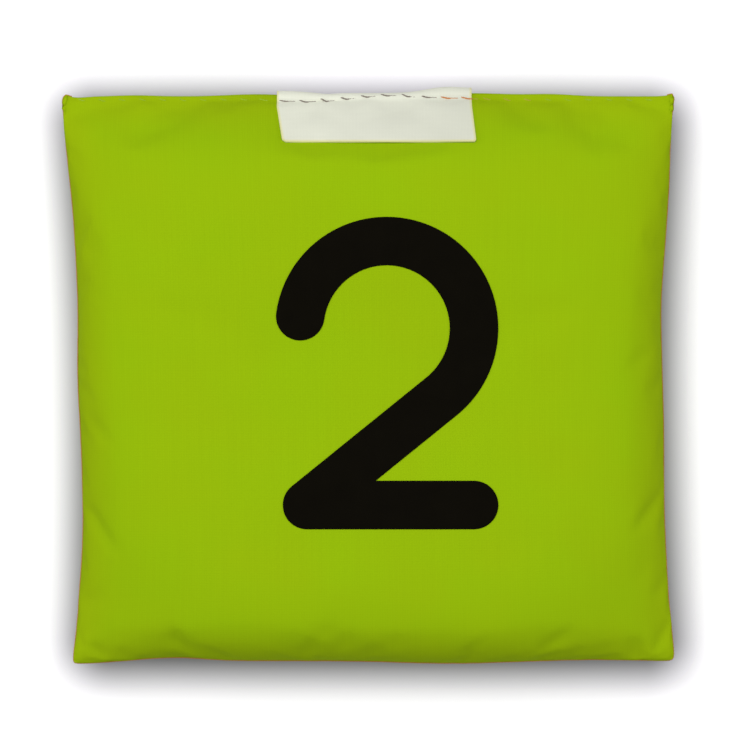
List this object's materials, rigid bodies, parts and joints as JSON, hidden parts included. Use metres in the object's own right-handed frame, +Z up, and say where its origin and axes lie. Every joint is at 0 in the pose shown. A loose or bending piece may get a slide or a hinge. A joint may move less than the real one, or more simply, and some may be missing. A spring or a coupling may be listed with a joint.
{
  "type": "toss bean bag",
  "caption": "Square sewn cloth bean bag, pellet filled, with a folded ribbon label on its closed edge and a large printed numeral, lying on its back.",
  "frame": {"origin": "on the ground under the middle of the bag's box, with the bag lying on its back", "axes": "+Z up out of the printed front, +Y toward the closed edge with the label, +X to the right of the numeral"},
  "size_m": [0.1206, 0.1122, 0.0285],
  "materials": {
    "green_cloth": "matte",
    "pellets": "satin",
    "black_print": "matte",
    "label_ribbon": "satin",
    "orange_thread": "satin"
  },
  "bodies": {
    "bag": {"front_panel": "green_cloth", "back_panel": "green_cloth", "bean_fill": "pellets", "numeral_print": "black_print", "label_fold": "label_ribbon", "closing_needle_thread": "orange_thread", "closing_bobbin_thread": "orange_thread", "seam_needle_thread": "orange_thread", "seam_bobbin_thread": "orange_thread"},
    "front_flap": {"label_front_flap": "label_ribbon"},
    "back_flap": {"label_back_flap": "label_ribbon"}
  },
  "joints": [
    {"name": "front_flap_lift", "type": "hinge", "parent": "bag", "child": "front_flap", "pos_m": [0.0014, 0.05353, 0.01476], "axis": [-1, 0, 0], "range_deg": [0, 120]},
    {"name": "back_flap_lift", "type": "hinge", "parent": "bag", "child": "back_flap", "pos_m": [0.0014, 0.05353, 0.01024], "axis": [1, 0, 0], "range_deg": [0, 120]}
  ]
}
